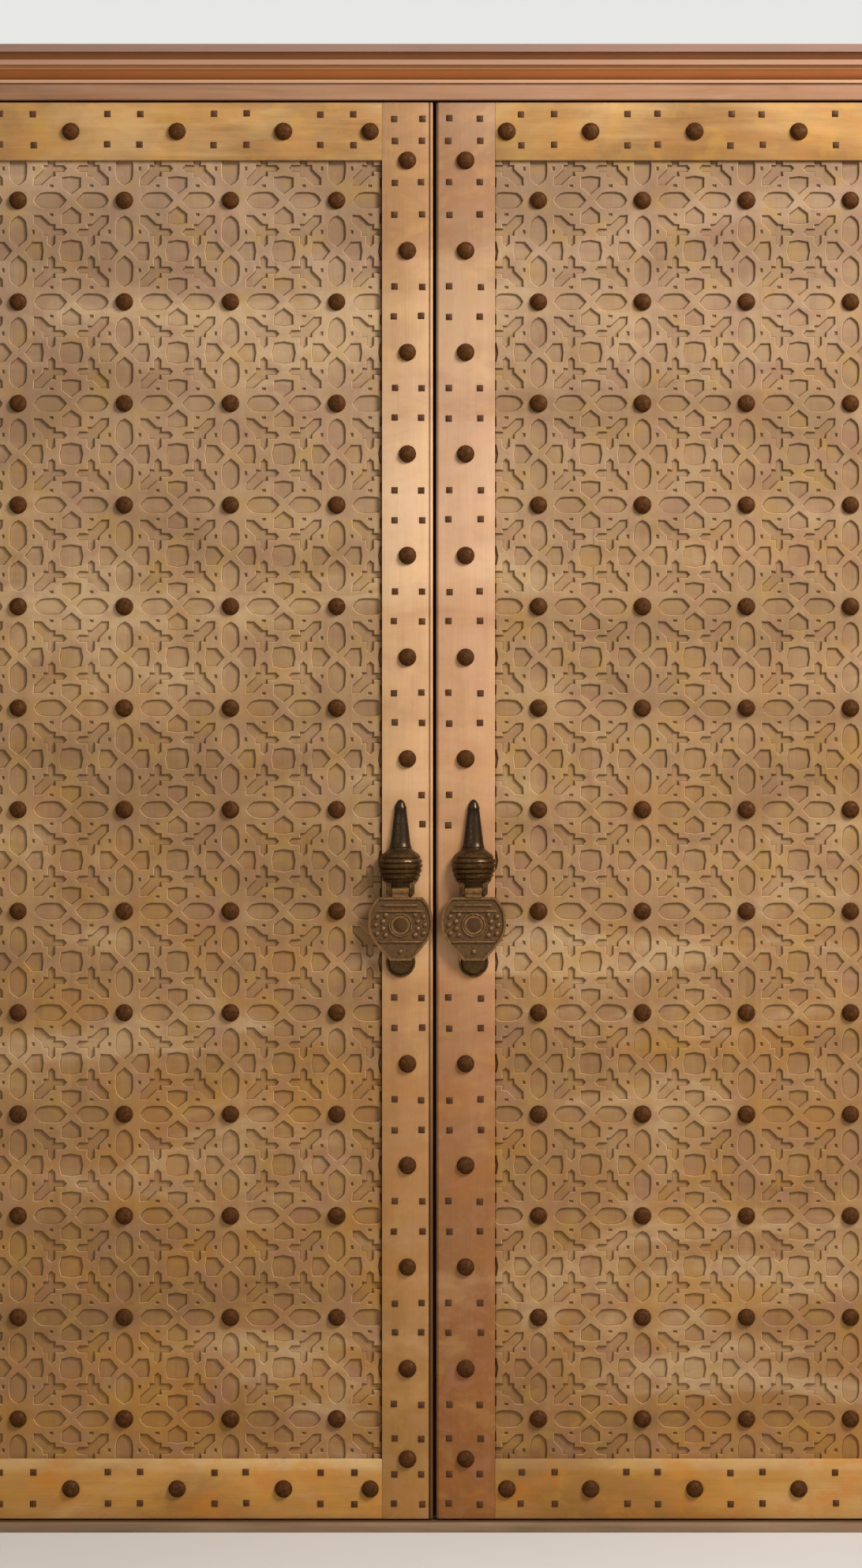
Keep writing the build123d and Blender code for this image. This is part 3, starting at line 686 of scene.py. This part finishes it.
def sinkHollows(bm, outlines, wall, depth):
    # a worn arris, a sloping wall and a softly rounded floor inside each outline
    faces = [turnedToFront(bm.faces.new(verts)) for verts in outlines]
    for inward, down in panel["passes"]:
        bmesh.ops.inset_individual(bm, faces=faces, thickness=inward * wall, depth=-down * depth,
                                   use_even_offset=True)


def turnedToFront(face):
    face.normal_update()
    if face.normal.y > 0:
        face.normal_flip()
    return face


def openEdges(bm):
    return [edge for edge in bm.edges if edge.is_boundary]


def vertsAmong(parts):
    return [part for part in parts if isinstance(part, bmesh.types.BMVert)]


def makeCarvedPanel(side):
    # a sheet with every hollow, wider than the panel, is trimmed to it and thickened
    node = side + "_carved_panel"
    low, high = lowCorner(node), highCorner(node)
    left, right = low.x - panel["margin"], high.x + panel["margin"]
    foot, top = low.z - panel["margin"], high.z + panel["margin"]
    bm = bmesh.new()
    sheet = [(left, foot), (right, foot), (right, top), (left, top)]
    edges = closedLoop(bm, sheet, panel["front"])[1]
    hollows, pits = [], []
    for points, small in panelHollows(leaves[side], low, high):
        verts, ring = closedLoop(bm, points, panel["front"], panel["waver"])
        (pits if small else hollows).append(verts)
        edges += ring
    bmesh.ops.triangle_fill(bm, use_beauty=True, use_dissolve=False, edges=edges)
    sinkHollows(bm, hollows, panel["wall"], panel["depth"])
    sinkHollows(bm, pits, panel["pitWall"], panel["pitDepth"])
    for corner, normal in ((low, (-1, 0, 0)), (low, (0, 0, -1)), (high, (1, 0, 0)), (high, (0, 0, 1))):
        bmesh.ops.bisect_plane(bm, geom=bm.verts[:] + bm.edges[:] + bm.faces[:], plane_co=corner,
                               plane_no=normal, clear_outer=True)
    share = bm.verts.layers.float.new("hollow")
    for vert in bm.verts:
        vert[share] = min(1, (vert.co.y - panel["front"]) / panel["depth"])
    for vert in vertsAmong(bmesh.ops.extrude_edge_only(bm, edges=openEdges(bm))["geom"]):
        vert.co.y = panel["back"]
        vert[share] = 0
    bmesh.ops.holes_fill(bm, edges=openEdges(bm), sides=0)
    bmesh.ops.triangulate(bm, faces=[face for face in bm.faces if len(face.verts) > 4])
    print(node, len(hollows) + len(pits), "hollows,", len(bm.faces), "faces")
    finishPiece(node + "_carving", bm, materials["carvedTimber"], side + "_leaf",
                replaced=(node,))


for side in leaves:
    makeCarvedPanel(side)
print("panels carved")


# each step of a dome goes in by a share of its radius and rises by a share of its height
domeSteps = ((0.04, 0.3), (0.2, 0.4), (0.3, 0.22), (0.28, 0.08))


def addRound(bm, spot, radius, segments):
    # a flat round that faces the front
    made = bmesh.ops.create_circle(bm, cap_ends=True, radius=radius, segments=segments, matrix=spot)
    return turnedToFront(made["verts"][0].link_faces[0])


def raiseSteps(bm, faces, radius, height, steps):
    for inward, rise in steps:
        bmesh.ops.inset_individual(bm, faces=faces, thickness=radius * inward, depth=height * rise)


def addDomes(bm, places, radius, height, segments, turned=True):
    # rounds of iron, domed by insets that rise less and less
    faces = []
    for place in places:
        turn = Matrix.Rotation(chance.uniform(0, 1) if turned else math.radians(45), 4, "Z")
        spot = Matrix.Translation(place) @ facingFront @ turn
        faces.append(addRound(bm, spot, radius * chance.uniform(0.96, 1), segments))
    raiseSteps(bm, faces, radius, height, domeSteps)


def studColumns(leaf):
    return [leaf["side"] * (leaf["firstStud"] + i * leaf["pitch"]) for i in range(studs["columns"])]


def looseCentres(node):
    # the middle of each separate stud in a node
    bm = bmesh.new()
    bm.from_mesh(node.data)
    bmesh.ops.remove_doubles(bm, verts=bm.verts, dist=sameSpot)
    centres, found = [], set()
    for start in bm.verts:
        if start in found:
            continue
        stud, waiting = set(), [start]
        while waiting:
            vert = waiting.pop()
            stud.add(vert)
            ends = [edge.other_vert(vert) for edge in vert.link_edges]
            waiting += [end for end in ends if end not in stud]
        found |= stud
        tip = min(stud, key=lambda vert: vert.co.y)
        centres.append((tip.co.x, tip.co.z))
    bm.free()
    return centres


def makeStuds(side):
    # the panel's studs, then the border's, which stand where the CAD has them
    leaf = leaves[side]
    rows = [studs["firstRow"] + j * studs["rowPitch"] for j in range(studs["rows"])]
    places = {
        side + "_panel_studs": [(x, panel["front"], z) for x in studColumns(leaf) for z in rows],
        side + "_border_studs": [(x, 0, z) for x, z in looseCentres(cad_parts[side + "_border_studs"])],
    }
    for node, spots in places.items():
        bm = bmesh.new()
        addDomes(bm, spots, studs["radius"], studs["height"], studs["segments"])
        finishPiece(node + "_domed", bm, materials["studIron"], side + "_leaf", replaced=(node,),
                    smoothBelow=studs["smoothBelow"])


nails = {
    "size": 0.0092, "height": 0.003, "sides": 4, "waver": 0.0015, "smoothBelow": 50,
    # on the stiles, in pairs: heights above the leaf's foot, the panel's foot and the panel's top, and on
    # both sides of the middle between two studs
    "aboveFoot": (0.03,), "aboveField": (-0.03, 0.042), "aboveTop": (-0.045, 0.04, 0.085), "apart": 0.0728,
    "spread": 0.26, "heelShift": 0.015, "knockerGap": 0.01, "besideSpire": 0.08,
    # on the rails: heights above their feet, distance from the middle between two studs as a share of the
    # pitch, and distance beyond the last stud
    "railHeights": (0.031, 0.094), "railApart": 0.35, "endStep": 0.035,
}


def stileNails(side, foot, field, top):
    leaf = leaves[side]
    places = []
    starts = ((foot, nails["aboveFoot"]), (field, nails["aboveField"]), (top, nails["aboveTop"]))
    heights = [start + up for start, ups in starts for up in ups]
    for j in range(studs["rows"] - 1):
        middle = studs["firstRow"] + (j + 0.5) * studs["rowPitch"]
        heights += [middle - nails["apart"], middle + nails["apart"]]
    knockerLow, knockerHigh = lowCorner(side + "_striker").z, highCorner(side + "_knocker_boss").z
    for part in ("meeting_stile", "heel_stile"):
        low, high = lowCorner(side + "_" + part).x, highCorner(side + "_" + part).x
        middle = (low + high) / 2
        if part == "heel_stile":
            middle -= leaf["side"] * nails["heelShift"]
        for z in heights:
            # the knocker takes the place of some
            nearKnocker = knockerLow - nails["knockerGap"] < z < knockerHigh + nails["knockerGap"]
            besideSpire = z > knockerHigh - nails["besideSpire"]
            for way in (-1, 1):
                outerOne = way == -leaf["side"]
                if part == "heel_stile" or not nearKnocker or (outerOne and besideSpire):
                    places.append((middle + way * nails["spread"] * (high - low), z))
    return places


def railNails(side, foot, top):
    leaf = leaves[side]
    places = []
    columns = studColumns(leaf)
    step = leaf["side"] * leaf["pitch"]
    for z in [start + up for start in (foot, top) for up in nails["railHeights"]]:
        for x in columns[:-1]:
            places += [(x + step / 2 + way * nails["railApart"] * step, z) for way in (-1, 1)]
        places.append((columns[0] - leaf["side"] * nails["endStep"], z))
        places.append((columns[-1] + leaf["side"] * nails["endStep"], z))
    return places


def makeNails(side):
    foot, field = lowCorner(side + "_bottom_rail").z, highCorner(side + "_bottom_rail").z
    top = field + 2 * studs["rowMargin"] + (studs["rows"] - 1) * studs["rowPitch"]
    places = stileNails(side, foot, field, top) + railNails(side, foot, top)
    waver = nails["waver"]
    places = [(x + chance.uniform(-waver, waver), 0, z + chance.uniform(-waver, waver)) for x, z in places]
    bm = bmesh.new()
    addDomes(bm, places, nails["size"], nails["height"], nails["sides"], turned=False)
    finishPiece(side + "_nails", bm, materials["nailIron"], side + "_leaf",
                smoothBelow=nails["smoothBelow"])


for side in leaves:
    makeStuds(side)
    makeNails(side)
print("studs and nails set")


casting = {
    "barHeight": 1.299, "barSetback": 0.017, "barRadius": 0.004, "foot": 1.315, "segments": 24,
    # radius and height above the foot, for the ball and then the spire
    "outline": ((0.0305, 0), (0.034, 0.002), (0.0375, 0.006), (0.0352, 0.008), (0.0385, 0.011),
                (0.0412, 0.015), (0.0382, 0.0185), (0.0425, 0.022), (0.044, 0.026), (0.0405, 0.0285),
                (0.0445, 0.032), (0.0452, 0.036), (0.042, 0.0395), (0.0445, 0.043), (0.0432, 0.047),
                (0.0392, 0.05), (0.0408, 0.053), (0.037, 0.058), (0.031, 0.0625), (0.0262, 0.0655),
                (0.023, 0.0685), (0.0222, 0.07), (0.0228, 0.0725), (0.021, 0.0755), (0.0196, 0.085),
                (0.017, 0.106), (0.014, 0.131), (0.0118, 0.149), (0.0128, 0.1515), (0.0112, 0.1545),
                (0.009, 0.161), (0.0052, 0.1665), (0, 0.169)),
    "ear": (0.0175, 0.0285), "earDepth": 0.025, "earFoot": 0.008, "earTop": 0.002, "earSoften": 0.003,
    "smoothBelow": 40,
    "look": dict(
        dark=(30, 16, 5), light=(104, 74, 34), metallic=0.75, shine=0.5, rough=(0.2, 0.42), dust=0.04),
    "soot": (26, 17, 8), "sootAmount": 0.7, "sootHeights": (0.055, 0.075),
}
disc = {
    "foot": 1.158, "height": 0.128, "halfWidth": 0.066, "front": -0.021, "back": -0.013,
    # the half outline from the foot up: share of the half width, share of the height
    "half": ((0.318, 0), (0.41, 0.05), (0.515, 0.11), (0.69, 0.215), (0.85, 0.325), (0.94, 0.42),
             (0.995, 0.54), (0.975, 0.72), (0.935, 0.8), (0.865, 0.87), (0.775, 0.94), (0.68, 1)),
    "rim": 0.0045, "slope": 0.0015, "sink": 0.003, "holeRadius": 0.015, "holeHeight": 0.0717, "holeSteps": 16,
    "tongueHalf": 0.017, "tongueLap": 0.004, "tongueSoften": 0.0012,
    "rollRadius": 0.008, "rollSteps": 20, "rollPlay": 0.0001, "smoothBelow": 35,
    # the relief: bars as (height above the foot, half length), rows of bosses beside the hole as
    # (radius, angles), one boss at the foot and a ring round the hole
    "bars": ((0.112, 0.036), (0.1, 0.046), (0.038, 0.044)), "barHalf": 0.0018, "barProud": 0.0006,
    "barSoften": 0.001, "rooted": 0.002,
    "bosses": ((0.036, (-0.6, -0.2, 0.2, 0.6)), (0.05, (-0.35, 0, 0.35))), "footBoss": 0.018,
    "bossRadius": 0.0062, "bossHeight": 0.006, "bossSides": 8,
    "ringRadius": 0.0225, "ringThickness": 0.0016, "ringSink": 0.0012, "ringSteps": 28,
    "look": dict(
        dark=(74, 46, 18), light=(136, 97, 50), metallic=0.35, shine=0.35, rough=(0.45, 0.65), dust=0.15),
    "darkening": (50, 32, 13), "grimeAmount": 0.5, "grimeBehind": 0.001,
}
# the steps go in by shares of the radius and rise by shares of the height
striker = {
    "sides": 20, "smoothBelow": 40,
    "steps": ((0.02, 0.25), (0.12, 0.08), (0.02, -0.08), (0.06, 0.45), (0.08, 0.25), (0.2, 0.05)),
}


def addSoot(tree, vector, colour):
    # the spire is blacker than the ball, which hands keep bright
    low, high = (casting["foot"] + height for height in casting["sootHeights"])
    sooty = remap(tree, axes(tree, vector)["Z"], low, high, 0, casting["sootAmount"])
    return mixedTowards(tree, colour, casting["soot"], sooty)


def addFieldGrime(tree, vector, colour):
    # old grime in the disc's sunk field
    sunk = calculate(tree, "GREATER_THAN", axes(tree, vector)["Y"], disc["front"] + disc["grimeBehind"])
    return mixedTowards(tree, colour, disc["darkening"], sunk, disc["grimeAmount"])


materials["castBronze"] = makeMetal("castBronze", casting["look"], addSoot)
materials["discBronze"] = makeMetal("discBronze", disc["look"], addFieldGrime)


def edgesOf(verts):
    # each edge once, always in the same order
    return list(dict.fromkeys(edge for vert in verts for edge in vert.link_edges))


def addBlock(bm, low, high, soften):
    size = [high[i] - low[i] for i in range(3)]
    middle = [(high[i] + low[i]) / 2 for i in range(3)]
    made = bmesh.ops.create_cube(bm, size=1, matrix=Matrix.Translation(middle) @ Matrix.Diagonal((*size, 1)))
    bmesh.ops.bevel(bm, geom=edgesOf(made["verts"]), offset=soften, segments=2, profile=0.5, affect="EDGES",
                    material=-1)


def addBar(bm, middle, radius, length, segments=16):
    # a round bar along X
    bmesh.ops.create_cone(bm, cap_ends=True, segments=segments, radius1=radius, radius2=radius,
                          depth=length, matrix=Matrix.Translation(middle) @ alongX)


def addRing(bm, centre, radius, thickness, segments=8):
    # a thin ring round Y, spun from a small round
    spot = Matrix.Translation(centre) @ facingFront @ Matrix.Translation((radius, 0, 0)) @ facingFront
    verts = bmesh.ops.create_circle(bm, radius=thickness, segments=segments, matrix=spot)["verts"]
    bmesh.ops.spin(bm, geom=verts + edgesOf(verts), cent=centre, axis=(0, 1, 0), angle=2 * math.pi,
                   steps=disc["ringSteps"], use_merge=True)


def makeCasting(side, x):
    # the ball and its spire are spun; two ears under them hold the bar
    bm = bmesh.new()
    points = [(0, 0)] + list(casting["outline"])
    verts = [bm.verts.new((x + radius, 0, casting["foot"] + height)) for radius, height in points]
    edges = [bm.edges.new(pair) for pair in zip(verts, verts[1:])]
    bmesh.ops.spin(bm, geom=verts + edges, cent=(x, 0, 0), axis=(0, 0, 1), angle=-math.pi,
                   steps=casting["segments"], use_merge=False)
    bmesh.ops.remove_doubles(bm, verts=bm.verts, dist=sameSpot)
    bmesh.ops.holes_fill(bm, edges=openEdges(bm), sides=0)
    inner, outer = casting["ear"]
    bottom, top = casting["barHeight"] - casting["earFoot"], casting["foot"] + casting["earTop"]
    for way in (-1, 1):
        left, right = sorted((x + way * inner, x + way * outer))
        addBlock(bm, (left, -casting["earDepth"], bottom), (right, 0, top), casting["earSoften"])
    addBar(bm, (x, -casting["barSetback"], casting["barHeight"]), casting["barRadius"], 2 * inner)
    node = side + "_knocker_boss"
    finishPiece(node + "_cast", bm, materials["castBronze"], side + "_leaf",
                replaced=(node,), smoothBelow=casting["smoothBelow"])


def addPlate(bm, x, holeZ):
    # the disc's plate, a raised rim round a sunk field
    right = [(x + share * disc["halfWidth"], disc["foot"] + up * disc["height"])
             for share, up in disc["half"]]
    outline = right + [(2 * x - px, z) for px, z in reversed(right)]
    angles = [step * 2 * math.pi / disc["holeSteps"] for step in range(disc["holeSteps"])]
    radius = disc["holeRadius"]
    hole = [(x + radius * math.cos(angle), holeZ + radius * math.sin(angle)) for angle in angles]
    edges = closedLoop(bm, outline, disc["front"])[1] + closedLoop(bm, hole, disc["front"])[1]
    bmesh.ops.triangle_fill(bm, use_beauty=True, use_dissolve=False, edges=edges)
    bmesh.ops.recalc_face_normals(bm, faces=bm.faces)
    if bm.faces[0].normal.y > 0:
        bmesh.ops.reverse_faces(bm, faces=bm.faces)
    bmesh.ops.inset_region(bm, faces=bm.faces[:], thickness=disc["rim"], use_boundary=True,
                           use_even_offset=True)
    field = [face for face in bm.faces if not any(edge.is_boundary for edge in face.edges)]
    bmesh.ops.inset_region(bm, faces=field, thickness=disc["slope"], depth=-disc["sink"], use_boundary=True,
                           use_even_offset=True)
    for vert in vertsAmong(bmesh.ops.extrude_face_region(bm, geom=bm.faces[:])["geom"]):
        vert.co.y = disc["back"]


def addRelief(bm, x, holeZ):
    # bars and bosses rooted in the sunk field, and a ring round the hole
    root = disc["front"] + disc["sink"] + disc["rooted"]
    for up, half in disc["bars"]:
        z = disc["foot"] + up
        addBlock(bm, (x - half, disc["front"] - disc["barProud"], z - disc["barHalf"]),
                 (x + half, root, z + disc["barHalf"]), disc["barSoften"])
    spots = [(x + way * radius * math.cos(angle), root, holeZ + radius * math.sin(angle))
             for radius, angles in disc["bosses"] for way in (-1, 1) for angle in angles]
    spots.append((x, root, disc["foot"] + disc["footBoss"]))
    addDomes(bm, spots, disc["bossRadius"], disc["bossHeight"], disc["bossSides"])
    addRing(bm, (x, disc["front"] + disc["ringSink"], holeZ), disc["ringRadius"], disc["ringThickness"])


def addTongue(bm, x):
    # the tongue is rolled round the bar, open in the middle
    half = disc["tongueHalf"]
    addBlock(bm, (x - half, disc["front"], disc["foot"] + disc["height"] - disc["tongueLap"]),
             (x + half, disc["back"], casting["barHeight"] - disc["tongueLap"]), disc["tongueSoften"])
    spot = Matrix.Translation((x - half, -casting["barSetback"], casting["barHeight"])) @ alongX
    verts = []
    for radius in (disc["rollRadius"], casting["barRadius"] + disc["rollPlay"]):
        verts += bmesh.ops.create_circle(bm, radius=radius, segments=disc["rollSteps"], matrix=spot)["verts"]
    ring = bmesh.ops.bridge_loops(bm, edges=edgesOf(verts))["faces"]
    moved = bmesh.ops.extrude_face_region(bm, geom=ring)["geom"]
    bmesh.ops.translate(bm, verts=vertsAmong(moved), vec=(2 * half, 0, 0))


def makeDisc(side, x):
    bm = bmesh.new()
    holeZ = disc["foot"] + disc["holeHeight"]
    addPlate(bm, x, holeZ)
    addRelief(bm, x, holeZ)
    addTongue(bm, x)
    node = side + "_knocker_disc"
    finishPiece(node + "_cast", bm, materials["discBronze"], side + "_disc", replaced=(node,),
                smoothBelow=disc["smoothBelow"])


def makeStriker(side, x):
    node = side + "_striker"
    low, high = lowCorner(node), highCorner(node)
    radius = (high.x - low.x) / 2
    bm = bmesh.new()
    spot = Matrix.Translation((x, 0, (low.z + high.z) / 2)) @ facingFront
    face = addRound(bm, spot, radius, striker["sides"])
    raiseSteps(bm, [face], radius, high.y - low.y, striker["steps"])
    finishPiece(node + "_cast", bm, materials["castBronze"], side + "_leaf",
                replaced=(node,), smoothBelow=striker["smoothBelow"])


for side in leaves:
    node = side + "_knocker_disc"
    middle = (lowCorner(node).x + highCorner(node).x) / 2
    makeCasting(side, middle)
    makeDisc(side, middle)
    makeStriker(side, middle)
print("knockers hung")


backdrop = {
    "colour": (0.8, 0.8, 0.78, 1), "strength": 1, "softColour": (1, 0.97, 0.92, 1), "softStrength": 0.3,
    "floorDark": (0.62, 0.6, 0.57, 1), "floorLight": (0.66, 0.64, 0.61, 1), "floorMottle": 2,
    "floorRough": 0.9, "floorReach": 14, "floorSides": 64, "floorFade": (1.6, 6),
}
lamps = (
    dict(name="key", place=(3.3, -3, 4.9), target=(0, 0, 1.7), size=2, power=400, colour=(1, 0.98, 0.96)),
    dict(name="fill", place=(-3.5, -5.5, 2.4), target=(0, 0, 1.4), size=3.5, power=40, colour=(1, 0.96, 0.9)),
    dict(name="behind", place=(-1.5, 5, 3.5), target=(0, 0, 1.4), size=3, power=150, colour=(1, 0.98, 0.95)),
)
view = {"distance": 7, "x": -0.0072, "height": 1.515, "frameHeight": 3.1776, "sensor": 24}


def mixShaders(tree, share, first, second):
    return addNode(tree, "ShaderNodeMixShader", {"Fac": share, 1: first, 2: second}).outputs["Shader"]


def makeFloor():
    # far off, the floor turns into the background
    bm = bmesh.new()
    bmesh.ops.create_circle(bm, cap_ends=True, radius=backdrop["floorReach"], segments=backdrop["floorSides"])
    mesh = bpy.data.meshes.new("floor")
    bm.to_mesh(mesh)
    bm.free()
    material = bpy.data.materials.new("paleFloor")
    tree = nodeTree(material)
    vector = objectVector(tree)
    mottled = noiseNode(tree, vector, backdrop["floorMottle"])
    colour = mixColour(tree, mottled, backdrop["floorDark"], backdrop["floorLight"])
    near = {"Base Color": colour, "Roughness": backdrop["floorRough"]}
    near = addNode(tree, "ShaderNodeBsdfPrincipled", near).outputs["BSDF"]
    far = addNode(tree, "ShaderNodeEmission", {"Color": backdrop["colour"]}).outputs["Emission"]
    away = addNode(tree, "ShaderNodeVectorMath", {"Vector": vector}, operation="LENGTH").outputs["Value"]
    seen = addNode(tree, "ShaderNodeLightPath").outputs["Is Camera Ray"]
    surface = mixShaders(tree, product(tree, remap(tree, away, *backdrop["floorFade"]), seen), near, far)
    addNode(tree, "ShaderNodeOutputMaterial", {"Surface": surface})
    mesh.materials.append(material)
    linkObject("floor", mesh)


def addLamp(name, place, target, size, power, colour):
    lamp = bpy.data.lights.new(name, "AREA")
    lamp.shape = "DISK"
    lamp.size = size
    lamp.energy = power
    lamp.color = colour
    holder = linkObject(name, lamp)
    holder.location = place
    holder.rotation_euler = (Vector(target) - Vector(place)).to_track_quat("-Z", "Y").to_euler()


def setWorld():
    # soft light from all round, with a paler background where the camera looks past the door
    world = bpy.data.worlds.new("studio")
    bpy.context.scene.world = world
    tree = nodeTree(world)
    soft = {"Color": backdrop["softColour"], "Strength": backdrop["softStrength"]}
    soft = addNode(tree, "ShaderNodeBackground", soft).outputs["Background"]
    pale = {"Color": backdrop["colour"], "Strength": backdrop["strength"]}
    pale = addNode(tree, "ShaderNodeBackground", pale).outputs["Background"]
    path = addNode(tree, "ShaderNodeLightPath").outputs
    seen = calculate(tree, "MAXIMUM", path["Is Camera Ray"], path["Is Glossy Ray"])
    seen = calculate(tree, "MAXIMUM", seen, path["Is Transmission Ray"])
    addNode(tree, "ShaderNodeOutputWorld", {"Surface": mixShaders(tree, seen, soft, pale)})


def setCamera():
    data = bpy.data.cameras.new("camera")
    data.sensor_fit = "VERTICAL"
    data.sensor_height = view["sensor"]
    data.lens = data.sensor_height * view["distance"] / view["frameHeight"]
    camera = linkObject("camera", data)
    camera.location = (view["x"], -view["distance"], view["height"])
    camera.rotation_euler = (math.radians(90), 0, 0)
    bpy.context.scene.camera = camera


makeFloor()
for lamp in lamps:
    addLamp(**lamp)
setWorld()
setCamera()
bpy.context.scene.view_settings.view_transform = "Standard"

print("studio set")
